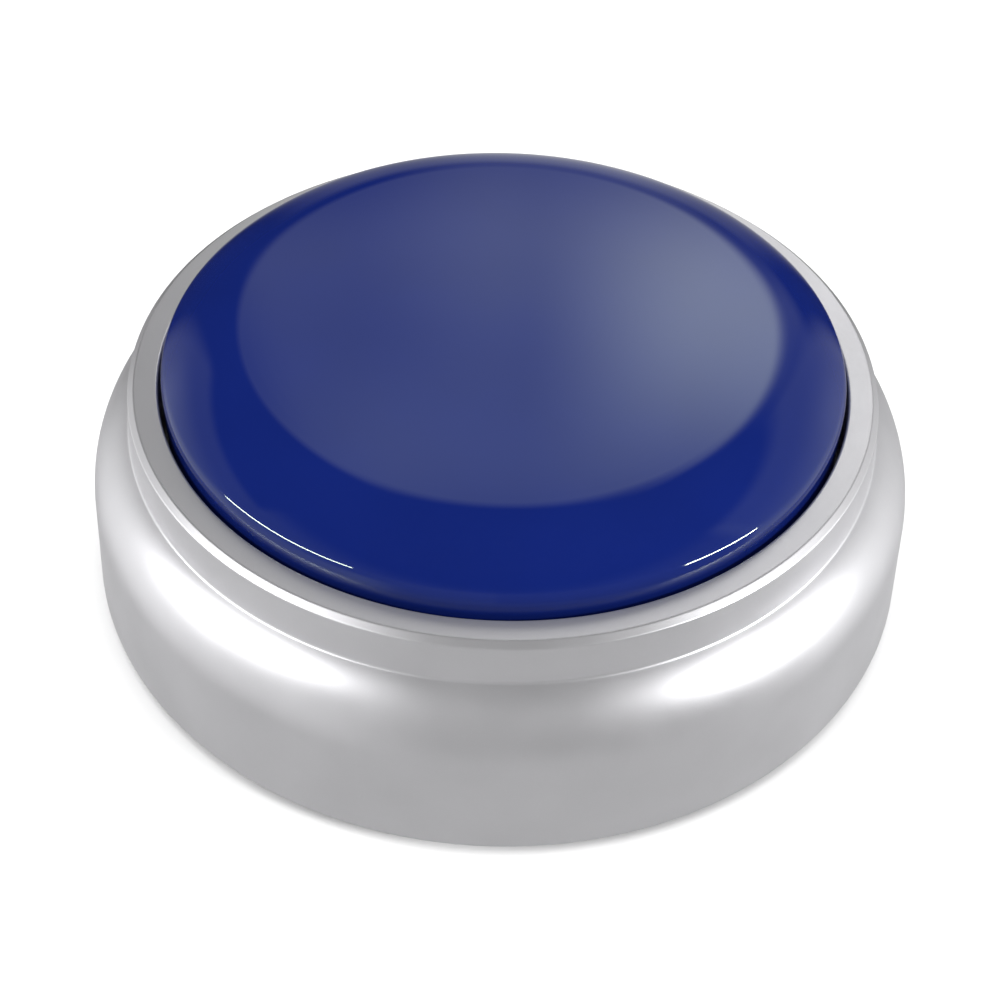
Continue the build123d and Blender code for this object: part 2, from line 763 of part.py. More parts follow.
save(speaker_cone, "speaker_cone")

with BuildPart() as voice_coil:
    with BuildSketch(Plane.XY.offset(cone_back + 2.5)):
        with Locations((0, speaker_y)):
            Circle(6.9)
            Circle(6.3, mode=Mode.SUBTRACT)
    extrude(amount=1.6)
save(voice_coil, "voice_coil")

with BuildPart() as speaker_terminals:
    with BuildSketch(Plane.XY.offset(magnet_bottom)):
        with Locations((-12.9, speaker_y)):
            Rectangle(6.0, 6.4)
    extrude(amount=terminal_thickness)
save(speaker_terminals, "speaker_terminals")

with BuildPart() as speaker_retainer:
    with BuildSketch(Plane.XY.offset(retainer_bottom)):
        with Locations((0, speaker_y)):
            SlotCenterToCenter(2 * retainer_screw_x, 5.2)
            Circle(speaker_radius)
            Circle(speaker_radius - 1.9, mode=Mode.SUBTRACT)
            with Locations((-retainer_screw_x, 0), (retainer_screw_x, 0)):
                Circle(1.15, mode=Mode.SUBTRACT)
    extrude(amount=retainer_thickness)
save(speaker_retainer, "speaker_retainer")

speaker_screw = pan_screw(1.0, 4.2, 1.9, 1.3)
with BuildPart() as speaker_screws:
    with Locations(
        Location(
            (-retainer_screw_x, speaker_y, retainer_bottom + retainer_thickness),
            (180, 0, 0),
        ),
        Location(
            (retainer_screw_x, speaker_y, retainer_bottom + retainer_thickness),
            (180, 0, 0),
        ),
    ):
        add(speaker_screw)
save(speaker_screws, "speaker_screws")

# Circuit board with its parts
with BuildPart() as circuit_board:
    with BuildSketch(Plane.XY.offset(board_bottom)):
        RectangleRounded(board_length, board_width, 1.5)
        with GridLocations(2 * board_screw_x, 2 * board_screw_y, 2, 2):
            Circle(1.1, mode=Mode.SUBTRACT)
    extrude(amount=board_thickness)
save(circuit_board, "circuit_board")

board_screw = pan_screw(0.85, 3.6, 1.7, 1.1)
with BuildPart() as board_screws:
    with Locations(
        [
            Location((x, y, board_top), (180, 0, 0))
            for x in (-board_screw_x, board_screw_x)
            for y in (-board_screw_y, board_screw_y)
        ]
    ):
        add(board_screw)
save(board_screws, "board_screws")

with BuildPart() as sound_chip:
    with BuildSketch(Plane.XY.offset(board_top)):
        with Locations((-8, -6)):
            Circle(4.4)
    extrude(amount=1.4)
    fillet(sound_chip.edges().group_by(Axis.Z)[-1], 1.2)
save(sound_chip, "sound_chip")

with BuildPart() as capacitor:
    with BuildSketch(Plane.XY.offset(board_top)):
        with Locations((9.5, 5.5)):
            Circle(2.5)
    extrude(amount=4.6)
    fillet(capacitor.edges(), 0.3)
save(capacitor, "capacitor")

with BuildPart() as board_resistors:
    with BuildSketch(Plane.XY.offset(board_top)):
        with Locations((9.5, -5.0), (9.5, -8.2), (2.0, -8.8), (-8.0, 8.8)):
            Rectangle(3.2, 1.6)
    extrude(amount=0.6)
save(board_resistors, "board_resistors")

with BuildPart() as switch_body:
    with BuildSketch(Plane.XY.offset(board_top)):
        RectangleRounded(switch_side, switch_side, 0.4)
    extrude(amount=switch_height)
    with BuildSketch(Plane.XY.offset(board_top + switch_height)):
        Circle(button_radius + 0.1)
    extrude(amount=-1.6, mode=Mode.SUBTRACT)
    with BuildSketch(Plane.XY.offset(board_top + switch_height)):  # corner rivets
        with GridLocations(4.4, 4.4, 2, 2):
            Circle(0.4)
    extrude(amount=0.2)
save(switch_body, "switch_body")

with BuildPart() as switch_terminals:
    with BuildSketch(Plane.XY.offset(board_top)):
        with GridLocations(2 * (switch_side / 2 + 0.75 + touch_gap), 4.5, 2, 2):
            Rectangle(1.5, 0.7)
    extrude(amount=0.3)
save(switch_terminals, "switch_terminals")

with BuildPart() as switch_button:
    with BuildSketch(Plane.XY.offset(board_top + switch_height - 1.6 + button_travel + 0.1)):
        Circle(button_radius)
    extrude(amount=button_top - (board_top + switch_height - 1.6 + button_travel + 0.1))
    chamfer(switch_button.edges().group_by(Axis.Z)[-1], 0.2)
save(switch_button, "switch_button")

# Power switch
with BuildPart() as power_switch_body:
    with BuildSketch(Plane.XY.offset(cover_top)):
        with Locations((power_x, power_y)):
            Rectangle(3.8, 8.6)
    extrude(amount=switch_can_height)
    with BuildSketch(Plane.XY.offset(cover_top)):
        with Locations((power_x, power_y)):
            Rectangle(knob_width + 0.3, knob_length + power_travel + 0.3)
    extrude(amount=1.4, mode=Mode.SUBTRACT)
save(power_switch_body, "power_switch_body")

with BuildPart() as power_switch_pins:
    with BuildSketch(Plane.XY.offset(pin_top - pin_height)):
        with Locations((power_x, power_y)):
            with GridLocations(0, pin_pitch, 1, 3):
                Rectangle(0.4, 0.9)
    extrude(amount=pin_height)
save(power_switch_pins, "power_switch_pins")

with BuildPart() as power_switch_knob:
    with BuildSketch(Plane.XY.offset(0.7)):
        with Locations((power_x, power_y + power_travel / 2)):
            Rectangle(knob_width, knob_length)
    extrude(amount=cover_top + 1.2 - 0.7)
    with BuildSketch(Plane.XY.offset(0.7)):  # grip grooves
        with Locations((power_x, power_y + power_travel / 2)):
            with GridLocations(0, 0.7, 1, 2):
                Rectangle(knob_width, 0.25)
    extrude(amount=0.2, mode=Mode.SUBTRACT)
save(power_switch_knob, "power_switch_knob")

# Leads, each along its own route: up off its tab or pin, under the deck, through a slot, onto the board
tab_x = -wall_face - tab_length + 0.8
tab_face = tab_z + contact_sheet / 2
terminal_x, terminal_top = -13.6, magnet_bottom + terminal_thickness
pad_x = -16.4

battery_row, other_row = cell_rows
lead_battery_plus = lead(
    [
        (tab_x, battery_row, tab_face),
        (tab_x, battery_row, 12.4),
        (tab_x, 3.0, 12.4),
        (power_x, power_y, 12.6),
        (power_x, power_y, pin_top),
    ],
    [3.2, 4.0, 3.0],
)
save(lead_battery_plus, "lead_battery_plus")

lead_battery_minus = lead(
    [
        (tab_x, other_row, tab_face),
        (tab_x, other_row, 13.7),
        (tab_x, 1.0, 13.7),
        (-26.0, 6.4, 13.7),
        (-26.0, 6.4, 22.6),
        (pad_x, 2.6, 22.6),
        (pad_x, 2.6, board_top),
    ],
    [4.0, 6.0, 3.2, 3.2, 3.2],
)
save(lead_battery_minus, "lead_battery_minus")

lead_switched = lead(
    [
        (power_x, power_y + pin_pitch, pin_top),
        (power_x, power_y + pin_pitch, 13.0),
        (-22.4, 7.4, 13.0),
        (-22.4, 7.4, 22.6),
        (pad_x, 5.6, 22.6),
        (pad_x, 5.6, board_top),
    ],
    [3.2, 3.2, 3.0, 3.0],
)
save(lead_switched, "lead_switched")

lead_speaker_plus = lead(
    [
        (terminal_x, speaker_y - 1.6, terminal_top),
        (terminal_x, speaker_y - 1.6, 12.6),
        (-10.6, 17.0, 15.6),
        (-10.6, 17.0, 22.6),
        (-10.6, 10.6, 22.6),
        (-10.6, 10.6, board_top),
    ],
    [2.8, 2.8, 3.0, 3.0],
)
save(lead_speaker_plus, "lead_speaker_plus")

lead_speaker_minus = lead(
    [
        (terminal_x, speaker_y + 1.6, terminal_top),
        (terminal_x, speaker_y + 1.6, 12.6),
        (-7.6, 18.4, 15.8),
        (-7.6, 18.4, 22.6),
        (-5.6, 10.6, 22.6),
        (-5.6, 10.6, board_top),
    ],
    [2.8, 2.8, 3.2, 3.2],
)
save(lead_speaker_minus, "lead_speaker_minus")
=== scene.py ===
"""Quiz buzzer: the looks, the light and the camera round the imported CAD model."""

import json
from math import asin, cos, degrees, pi, radians, sin, sqrt, tan, tau

import bmesh
import bpy
from mathutils import Matrix, Vector


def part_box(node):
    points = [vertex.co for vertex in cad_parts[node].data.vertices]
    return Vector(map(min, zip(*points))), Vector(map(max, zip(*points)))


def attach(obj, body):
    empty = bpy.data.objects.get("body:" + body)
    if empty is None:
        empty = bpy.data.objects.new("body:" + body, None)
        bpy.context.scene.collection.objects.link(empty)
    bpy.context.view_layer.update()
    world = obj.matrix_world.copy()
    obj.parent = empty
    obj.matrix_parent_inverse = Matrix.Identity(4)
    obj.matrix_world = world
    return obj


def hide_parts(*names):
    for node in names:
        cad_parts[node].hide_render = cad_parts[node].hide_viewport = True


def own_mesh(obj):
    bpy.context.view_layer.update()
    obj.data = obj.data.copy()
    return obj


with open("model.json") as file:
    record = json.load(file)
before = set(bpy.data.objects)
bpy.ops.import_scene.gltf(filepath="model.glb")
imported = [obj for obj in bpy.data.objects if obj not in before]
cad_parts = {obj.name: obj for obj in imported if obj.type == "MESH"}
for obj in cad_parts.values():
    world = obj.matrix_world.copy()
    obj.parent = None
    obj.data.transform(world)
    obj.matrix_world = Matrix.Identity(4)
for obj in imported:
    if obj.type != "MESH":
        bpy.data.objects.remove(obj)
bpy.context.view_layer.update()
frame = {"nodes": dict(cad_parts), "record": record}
MM = 0.001
SCENE = bpy.context.scene
NODES = frame["nodes"]


# ---------------------------------------------------------------- node trees


class Surface:
    """A material under construction: a Principled shader and short calls for the nodes that feed it."""

    def __init__(self, name, color, roughness, metallic=0.0, **settings):
        self.material = bpy.data.materials.new(name)
        self.material.use_nodes = True
        self.tree = self.material.node_tree
        self.shader = self.tree.nodes["Principled BSDF"]
        self.set("Base Color", (*color, 1.0))
        self.set("Roughness", roughness)
        self.set("Metallic", metallic)
        for socket, value in settings.items():
            self.set(socket.replace("_", " "), value)
        self.place = self.node("ShaderNodeTexCoord").outputs["Object"]
        self.bumps = None

    def node(self, kind, **settings):
        made = self.tree.nodes.new(kind)
        for key, value in settings.items():
            setattr(made, key, value)
        return made

    def set(self, socket, value):
        """Sets one of the shader's own sockets, or links an output to it."""
        self.feed(self.shader.inputs[socket], value)

    def feed(self, target, value):
        if isinstance(value, bpy.types.NodeSocket):
            self.tree.links.new(value, target)
        else:
            target.default_value = value

    def stretched(self, x, y, z):
        """Object coordinates scaled along each axis."""
        mapping = self.node("ShaderNodeMapping")
        self.feed(mapping.inputs["Vector"], self.place)
        mapping.inputs["Scale"].default_value = (x, y, z)
        return mapping.outputs["Vector"]

    def noise(self, size_mm, detail=2.0, rough=0.5, distortion=0.0, vector=None):
        """Noise from 0 to 1 whose blobs are about size_mm across."""
        made = self.node("ShaderNodeTexNoise")
        self.feed(made.inputs["Vector"], vector or self.place)
        made.inputs["Scale"].default_value = 1 / (size_mm * MM)
        made.inputs["Detail"].default_value = detail
        made.inputs["Roughness"].default_value = rough
        made.inputs["Distortion"].default_value = distortion
        return made.outputs["Fac"]

    def cells(self, size_mm, feature="F1", vector=None):
        """Distance to the nearest point of a random pattern with cells about size_mm across."""
        made = self.node("ShaderNodeTexVoronoi", feature=feature)
        self.feed(made.inputs["Vector"], vector or self.place)
        made.inputs["Scale"].default_value = 1 / (size_mm * MM)
        return made.outputs["Distance"]

    def spread(self, value, low, high, out_low=0.0, out_high=1.0, smooth=False):
        made = self.node("ShaderNodeMapRange")
        made.interpolation_type = "SMOOTHSTEP" if smooth else "LINEAR"
        self.feed(made.inputs["Value"], value)
        for key, number in (
            ("From Min", low),
            ("From Max", high),
            ("To Min", out_low),
            ("To Max", out_high),
        ):
            made.inputs[key].default_value = number
        return made.outputs["Result"]

    def sum(self, a, b, operation="ADD"):
        made = self.node("ShaderNodeMath", operation=operation)
        self.feed(made.inputs[0], a)
        self.feed(made.inputs[1], b)
        return made.outputs["Value"]

    def blend(self, factor, first, second):
        """A colour between two, or between two outputs."""
        made = self.node("ShaderNodeMix", data_type="RGBA")
        self.feed(made.inputs["Factor"], factor)
        for socket, value in (("A", first), ("B", second)):
            target = next(
                s for s in made.inputs if s.name == socket and s.type == "RGBA"
            )
            self.feed(target, value if not isinstance(value, tuple) else (*value, 1.0))
        return next(s for s in made.outputs if s.type == "RGBA")

    def axis(self, name):
        """One object coordinate, in metres."""
        made = self.node("ShaderNodeSeparateXYZ")
        self.feed(made.inputs["Vector"], self.place)
        return made.outputs[name]

    def bump(self, height, depth_mm, strength=1.0):
        """Adds one layer of relief; layers stack."""
        made = self.node("ShaderNodeBump")
        made.inputs["Strength"].default_value = strength
        made.inputs["Distance"].default_value = depth_mm * MM
        self.feed(made.inputs["Height"], height)
        if self.bumps:
            self.feed(made.inputs["Normal"], self.bumps)
        self.bumps = made.outputs["Normal"]
        self.set("Normal", self.bumps)


def satin_silver(name="satin_silver", tone=0.67, roughness=0.4, metallic=0.83):
    """Satin lacquer with fine metal flake over moulded plastic."""
    s = Surface(name, (tone, tone, tone * 1.02), roughness, metallic)
    cloud = s.noise(9, 3)
    fine = s.noise(0.22, 2)
    dull, bright = (tuple(tone * share * c for c in (1.0, 0.995, 1.025)) for share in (0.97, 1.03))
    ground = s.blend(s.spread(cloud, 0.3, 0.7), dull, bright)
    flake = s.spread(s.cells(0.16), 0.0, 0.5, 1.0, 0.0, smooth=True)
    glint = tuple(min(1.0, c * 1.3) for c in bright)
    s.set("Base Color", s.blend(s.spread(flake, 0.6, 1.0, 0.0, 0.25), ground, glint))
    uneven = s.spread(cloud, 0.3, 0.7, roughness - 0.02, roughness + 0.02)
    s.set("Roughness", s.sum(uneven, s.spread(fine, 0.3, 0.7, -0.02, 0.02)))
    s.bump(fine, 0.004, 0.5)
    s.bump(s.noise(1.6, 2), 0.006, 0.3)
    return s.material


def blue_gloss():
    """Glossy moulded plastic, coloured through, with the faint hairlines of handling."""
    blue, tint = (0.0041, 0.0119, 0.112), (0.85, 1.0, 0.8, 1.0)
    s = Surface("cap_blue", blue, 0.05, IOR=1.5, Specular_Tint=tint)
    cloud = s.noise(14, 3)
    deep, light = (0.0039, 0.0114, 0.107), (0.0043, 0.0124, 0.117)
    s.set("Base Color", s.blend(s.spread(cloud, 0.3, 0.7), deep, light))
    hairs = s.spread(s.cells(7, "DISTANCE_TO_EDGE", s.stretched(1.0, 0.22, 0.6)), 0.0, 0.004, 1, 0)
    smear = s.spread(s.noise(5, 4, 0.6, 0.8), 0.45, 0.75)
    rough = s.sum(s.spread(smear, 0, 1, 0.035, 0.065), s.spread(hairs, 0, 1, 0.0, 0.04))
    s.set("Roughness", rough)
    s.bump(s.noise(3.5, 1), 0.004, 0.15)
    return s.material


def moulded(name, color, roughness=0.5, grain_mm=0.35, depth=0.02):
    """Plastic from a spark-eroded mould, a little lighter where it is rubbed."""
    s = Surface(name, color, roughness, IOR=1.48)
    grain = s.noise(grain_mm, 3, 0.6)
    cloud = s.noise(11, 3)
    lighter = tuple(min(1.0, c * 1.35 + 0.006) for c in color)
    s.set("Base Color", s.blend(s.spread(cloud, 0.35, 0.75), color, lighter))
    s.set("Roughness", s.sum(s.spread(grain, 0.3, 0.7, -0.06, 0.06), roughness))
    s.bump(grain, depth, 0.7)
    return s.material


def metal(name, color, roughness=0.3, brush=(1.0, 1.0, 1.0), size_mm=0.3):
    """Plated or drawn metal, with marks along one direction where brush says so."""
    s = Surface(name, color, roughness, 1.0)
    marks = s.noise(size_mm, 3, 0.6, vector=s.stretched(*brush))
    stain = s.noise(3.5, 3)
    darker = tuple(c * 0.8 for c in color)
    s.set("Base Color", s.blend(s.spread(stain, 0.4, 0.8), color, darker))
    s.set("Roughness", s.sum(s.spread(marks, 0.3, 0.7, -0.07, 0.09), roughness))
    s.bump(marks, 0.006, 0.5)
    return s.material


def soft(name, color, roughness=0.75, size_mm=0.5, depth=0.05):
    """Rubber or foam: matte, with pores."""
    s = Surface(name, color, roughness, IOR=1.45)
    pores = s.cells(size_mm)
    cloud = s.noise(4, 3)
    s.set("Base Color", s.blend(s.spread(cloud, 0.3, 0.7), color, tuple(c * 1.5 for c in color)))
    s.set("Roughness", s.spread(cloud, 0.3, 0.7, roughness - 0.06, roughness + 0.08))
    s.bump(pores, depth, 0.6)
    return s.material


def windings():
    """Enamelled copper wire, wound round the speaker's axis."""
    s = Surface("copper_coil", (0.6, 0.25, 0.1), 0.3, 1.0)
    turns = s.node("ShaderNodeMath", operation="SINE")
    s.feed(turns.inputs[0], s.sum(s.axis("Z"), tau / (0.16 * MM), "MULTIPLY"))
    s.set("Roughness", s.spread(s.noise(0.4), 0.3, 0.7, 0.22, 0.4))
    s.bump(s.spread(turns.outputs["Value"], -1, 1), 0.05)
    return s.material


def board():
    """Solder mask with the copper tracks showing through as a slightly lighter relief."""
    s = Surface("board_green", (0.02, 0.14, 0.05), 0.3, IOR=1.5)
    grid = s.node("ShaderNodeTexBrick")
    s.feed(grid.inputs["Vector"], s.place)
    grid.offset = 0.5
    grid.inputs["Scale"].default_value = 1.0
    for key, size in (("Brick Width", 4.6), ("Row Height", 2.3), ("Mortar Size", 0.22)):
        grid.inputs[key].default_value = size * MM
    tracks = grid.outputs["Fac"]
    s.set("Base Color", s.blend(tracks, (0.014, 0.11, 0.04), (0.03, 0.2, 0.07)))
    s.set("Roughness", s.spread(s.noise(0.8, 3), 0.3, 0.7, 0.24, 0.36))
    s.bump(tracks, 0.035)
    return s.material


def paper_cone():
    """Pressed black paper: fibres, and rings round the speaker's axis."""
    s = Surface("cone_paper", (0.03, 0.03, 0.032), 0.8, IOR=1.45)
    low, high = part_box("speaker_cone")
    shift = s.node("ShaderNodeVectorMath", operation="SUBTRACT")
    s.feed(shift.inputs[0], s.place)
    shift.inputs[1].default_value = (low + high) / 2
    rings = s.node("ShaderNodeTexWave", wave_type="RINGS", rings_direction="Z")
    s.feed(rings.inputs["Vector"], shift.outputs["Vector"])
    rings.inputs["Scale"].default_value = 160
    fibres = s.noise(0.25, 4, 0.7)
    s.set("Base Color", s.blend(s.spread(fibres, 0.35, 0.7), (0.022, 0.022, 0.024), (0.05, 0.05, 0.052)))
    s.bump(rings.outputs["Fac"], 0.06, 0.6)
    s.bump(fibres, 0.03, 0.6)
    return s.material


def insulation(name, color):
    """Soft wire covering with a slight sheen and handling marks."""
    s = Surface(name, color, 0.42, IOR=1.5)
    marks = s.noise(1.2, 3)
    s.set("Base Color", s.blend(s.spread(marks, 0.35, 0.7), color, tuple(c * 1.6 + 0.004 for c in color)))
    s.set("Roughness", s.spread(marks, 0.3, 0.7, 0.36, 0.52))
    s.bump(s.noise(0.4, 2), 0.01, 0.5)
    return s.material


def sleeve(name, color, band_color, band_from, band_to):
    """Shrink sleeve on a battery cell: one plain band of a second colour, by distance along X."""
    s = Surface(name, color, 0.25, IOR=1.5)
    x = s.axis("X")
    band = s.sum(
        s.spread(x, band_from - 0.0001, band_from + 0.0001),
        s.spread(x, band_to - 0.0001, band_to + 0.0001),
        "SUBTRACT",
    )
    wrinkle = s.noise(2.2, 2, vector=s.stretched(0.3, 1.0, 1.0))
    s.set("Base Color", s.blend(band, color, band_color))
    s.set("Roughness", s.spread(wrinkle, 0.3, 0.7, 0.2, 0.33))
    s.bump(wrinkle, 0.03, 0.5)
    return s.material


SLOTS = {
    "satin_silver": satin_silver(),
    "cap_blue": blue_gloss(),
    "black_plastic": moulded("black_plastic", (0.018, 0.018, 0.02), 0.5),
    "grey_plastic": moulded("grey_plastic", (0.2, 0.2, 0.21), 0.45, 0.6, 0.012),
    "foot_rubber": soft("foot_rubber", (0.025, 0.025, 0.026), 0.72, 0.35, 0.02),
    "foam": soft("foam", (0.04, 0.04, 0.044), 0.9, 0.45, 0.12),
    "spring_steel": metal("spring_steel", (0.56, 0.56, 0.57), 0.28, size_mm=0.2),
    "screw_steel": metal("screw_steel", (0.62, 0.62, 0.62), 0.3),
    "nickel": metal("nickel", (0.66, 0.62, 0.56), 0.24, (0.2, 1.0, 1.0)),
    "cell_sleeve": moulded("cell_sleeve", (0.1, 0.25, 0.12), 0.3),
    "speaker_steel": metal("speaker_steel", (0.5, 0.5, 0.48), 0.38),
    "ferrite": moulded("ferrite", (0.05, 0.05, 0.055), 0.7, 0.25, 0.03),
    "cone_paper": paper_cone(),
    "copper_coil": windings(),
    "board_green": board(),
    "board_brown": moulded("board_brown", (0.3, 0.18, 0.08), 0.55, 0.2, 0.01),
    "chip_resin": moulded("chip_resin", (0.01, 0.01, 0.01), 0.22, 1.8, 0.03),
    "capacitor_sleeve": moulded("capacitor_sleeve", (0.015, 0.02, 0.06), 0.25, 1.2, 0.01),
    "resistor_ceramic": moulded("resistor_ceramic", (0.025, 0.025, 0.025), 0.3, 0.4, 0.01),
    "lead_red": insulation("lead_red", (0.32, 0.012, 0.01)),
    "lead_black": insulation("lead_black", (0.012, 0.012, 0.013)),
}

slot_of_node = {p["node"]: p["material_slot"] for p in frame["record"]["subparts"]}
for name, piece in NODES.items():
    for index in range(len(piece.material_slots)):
        piece.material_slots[index].material = SLOTS[slot_of_node[name]]


# ---------------------------------------------------------------- pieces


def finished(name, bm, materials, corner=35):
    """An object of the shells in bm, smooth but for corners over so many degrees."""
    bmesh.ops.recalc_face_normals(bm, faces=bm.faces)
    mesh = bpy.data.meshes.new(name)
    bm.to_mesh(mesh)
    bm.free()
    for material in materials:
        mesh.materials.append(material)
    mesh.polygons.foreach_set("use_smooth", [True] * len(mesh.polygons))
    mesh.set_sharp_from_angle(angle=radians(corner))
    piece = bpy.data.objects.new(name, mesh)
    SCENE.collection.objects.link(piece)
    return piece


def tube(bm, points, radius, sides=12):
    """A closed tube round a list of points."""
    rings = []
    side = Vector((1, 0, 0))
    for i, point in enumerate(points):
        ahead = points[min(i + 1, len(points) - 1)] - points[max(i - 1, 0)]
        ahead.normalize()
        side = (side - ahead * side.dot(ahead)).normalized()
        other = ahead.cross(side)
        rings.append(
            [
                bm.verts.new(point + (side * cos(a) + other * sin(a)) * radius)
                for a in (tau * k / sides for k in range(sides))
            ]
        )
    for first, second in zip(rings, rings[1:]):
        for k in range(sides):
            bm.faces.new((first[k], first[k - 1], second[k - 1], second[k]))
    bm.faces.new(rings[0])
    bm.faces.new(reversed(rings[-1]))


def lathe(bm, outline, along, origin, sides=72, closed=False):
    """Faces of revolution about a line through origin.

    outline holds (distance along, radius, material index of the band that follows).
    """
    side = along.orthogonal().normalized()
    other = along.cross(side)
    rings = []
    for distance, radius, _ in outline:
        centre = origin + along * distance
        if radius < 1e-7:
            rings.append([bm.verts.new(centre)])
            continue
        rings.append(
            [
                bm.verts.new(centre + (side * cos(a) + other * sin(a)) * radius)
                for a in (tau * k / sides for k in range(sides))
            ]
        )
    following = rings[1:] + rings[:1] if closed else rings[1:]
    for first, second, (_, _, index) in zip(rings, following, outline):
        for k in range(sides):
            if len(first) == 1:
                face = bm.faces.new((first[0], second[k - 1], second[k]))
            elif len(second) == 1:
                face = bm.faces.new((first[k], first[k - 1], second[0]))
            else:
                face = bm.faces.new((first[k], first[k - 1], second[k - 1], second[k]))
            face.material_index = index


def slab(bm, outline, width, turn):
    """A flat piece: an outline of (distance from the axis, height), with an even width, turned about Z."""
    turned = Matrix.Rotation(radians(turn), 3, "Z")
    faces = [
        [bm.verts.new(turned @ Vector((r, y, z)) * MM) for r, z in outline]
        for y in (-width / 2, width / 2)
    ]
    bm.faces.new(faces[0])
    bm.faces.new(reversed(faces[1]))
    for k in range(len(outline)):
        bm.faces.new((faces[0][k - 1], faces[0][k], faces[1][k], faces[1][k - 1]))


def arc(centre, radius, start, end, step=2.5):
    """Points along an arc, with its angles in degrees."""
    count = max(2, round(abs(end - start) / step))
    turns = (radians(start + (end - start) * k / count) for k in range(count + 1))
    return [centre + Vector((cos(a), sin(a))) * radius for a in turns]


def rounded(before, corner, after, radius, count=9):
    """Points along the arc that rounds a corner between two runs."""
    back, ahead = (before - corner).normalized(), (after - corner).normalized()
    half = back.angle(ahead) / 2
    centre = corner + (back + ahead).normalized() * radius / sin(half)
    first = corner + back * radius / tan(half) - centre
    last = corner + ahead * radius / tan(half) - centre
    swing = first.angle(last)
    return [
        centre + (first * sin(swing * (1 - share)) + last * sin(swing * share)) / sin(swing)
        for share in (k / count for k in range(count + 1))
    ]


def guarded(points, margin=0.06):
    """The same outline with a point near each end of every long run, so that runs shade flat."""
    dense = []
    for here, there in zip(points, points[1:] + points[:1]):
        dense.append(here)
        run = there - here
        if run.length > 8 * margin and max(here.x, there.x) > 0.01:
            step = run.normalized() * margin
            dense += [here + step, there - step]
    return dense


def turned_shell(bm, points, sides=360, closed=True, second=lambda point: False):
    """Revolves an outline of (distance from the axis, height) in millimetres about Z.

    Bands whose first point second() picks get the second material.
    """
    outline = [(p.y * MM, p.x * MM, int(second(p))) for p in guarded(points)]
    lathe(bm, outline, Vector((0, 0, 1)), Vector(), sides, closed)


def housing():
    """The housing shell with fine rounds, and its screw bosses under the shoulder and the ring."""
    low, high = (corner.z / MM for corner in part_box("housing_shell"))
    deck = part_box("bump_ring")[0].z / MM
    rim, lean, wall = 45.0, radians(4), 2.0
    shoulder, bore, skirt = 10.0, 36.15, 38.0
    bevel_width, bevel_height = 0.6, 0.55
    foot_round, step_round, bevel_round, mouth_round = 0.8, 0.5, 0.3, 0.25
    rim_outside, rim_inside = Vector((rim, low)), Vector((rim - wall / cos(lean), low))
    step, ring = Vector((39.7, 20.0)), Vector((39.25, high))
    along, inward = Vector((-sin(lean), cos(lean))), Vector((-cos(lean), -sin(lean)))
    reach = rim_outside + inward * shoulder - step
    rise = -reach.dot(along) - sqrt(reach.dot(along) ** 2 - reach.dot(reach) + shoulder**2)
    start = rim_outside + along * rise
    centre = start + inward * shoulder
    top_angle = degrees(asin((step.y - centre.y) / shoulder))
    hollow = shoulder - wall
    inner_angle = degrees(asin(sqrt(hollow**2 - (skirt - centre.x) ** 2) / hollow))
    bend = arc(centre, shoulder, degrees(lean), top_angle)
    mouth, edge = Vector((bore, high)), Vector((bore, deck))
    bevel_foot = ring.lerp(step, bevel_height / (high - step.y))
    bevel_top = ring - Vector((bevel_width, 0))
    points = [
        *rounded(rim_inside, rim_outside, start, foot_round),
        *bend[:-1],
        *rounded(bend[-2], step, bevel_foot, step_round),
        *rounded(step, bevel_foot, bevel_top, bevel_round),
        *rounded(bevel_foot, bevel_top, mouth, bevel_round),
        *rounded(bevel_top, mouth, edge, mouth_round),
        edge,
        Vector((skirt, deck)),
        *arc(centre, hollow, inner_angle, degrees(lean), 5),
        rim_inside,
    ]
    bm = bmesh.new()
    turned_shell(bm, points, second=lambda p: p.y > high - 0.001)
    up = Vector((0, 0, 1))
    for circle, angles, radius, hole, bottom, hole_top, top in (
        (36.8, (50, 130, 240, 300), 3.0, 1.28, 6.0, 16.0, 18.3),
        (37.5, (0, 90, 180, 270), 2.3, 1.03, deck, deck + 2.0, deck + 2.4),
    ):
        clear = deck + 0.01
        heights = [(bottom, radius), (max(bottom, deck), radius), (clear, radius), (top, radius), (top, 0)]
        profile = [(hole_top, 0), (hole_top, hole), (bottom, hole), *heights]
        for angle in angles:
            place = Vector((cos(radians(angle)), sin(radians(angle)), 0)) * circle * MM
            lathe(bm, [(z * MM, r * MM, 0) for z, r in profile], up, place, 48)
    bore_wall = bore * MM
    for vert in bm.verts:
        away = vert.co.xy.length
        if vert.co.z > (deck + 0.005) * MM and away < bore_wall - 1e-6:
            vert.co.xy *= bore_wall / away
    bmesh.ops.dissolve_degenerate(bm, dist=1e-7, edges=bm.edges)
    # The ring's flat top gets a darker copy of the satin silver: its lower tone (0.52 against 0.67) and
    # lower metallic are painted shade for where the cap overhangs and is mirrored; its lower roughness is
    # real.
    shaded_smoother_top = satin_silver("satin_silver_top_painted_shade", 0.52, 0.35, 0.78)
    piece = finished("housing", bm, [SLOTS["satin_silver"], shaded_smoother_top])
    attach(piece, "base")
    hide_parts("housing_shell")


